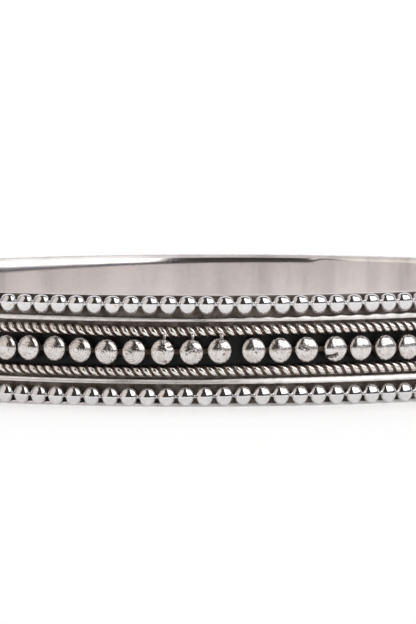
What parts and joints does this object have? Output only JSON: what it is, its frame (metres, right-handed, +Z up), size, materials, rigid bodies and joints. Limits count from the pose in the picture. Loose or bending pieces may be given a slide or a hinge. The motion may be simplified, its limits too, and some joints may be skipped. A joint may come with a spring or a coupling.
{
  "type": "beaded bangle",
  "caption": "Closed round silver bangle, worn on the wrist: a flat band with rows of beads, twisted wire and plain wire soldered around its outside.",
  "frame": {"origin": "centre of the bangle's bounding box in plan, on the surface that its lower edge stands on", "axes": "+Z up along the bangle's axis; -Y faces the picture's camera, +X to the right of it"},
  "size_m": [0.0686, 0.0686, 0.0092],
  "materials": {
    "band": "silver strip, polished inside and on its edges, oxidised dark on the outside",
    "beads": "polished silver with dark oxide left around the feet of the beads",
    "twisted_wire": "worn silver, polished on its crests and oxidised between the strands",
    "plain_wire": "satin silver"
  },
  "bodies": {
    "root": {"band": "band", "upper_bead_row": "beads", "lower_bead_row": "beads", "upper_plain_wire": "plain_wire", "lower_plain_wire": "plain_wire", "upper_twisted_wire": "twisted_wire", "lower_twisted_wire": "twisted_wire", "centre_bead_row": "beads"}
  },
  "joints": []
}
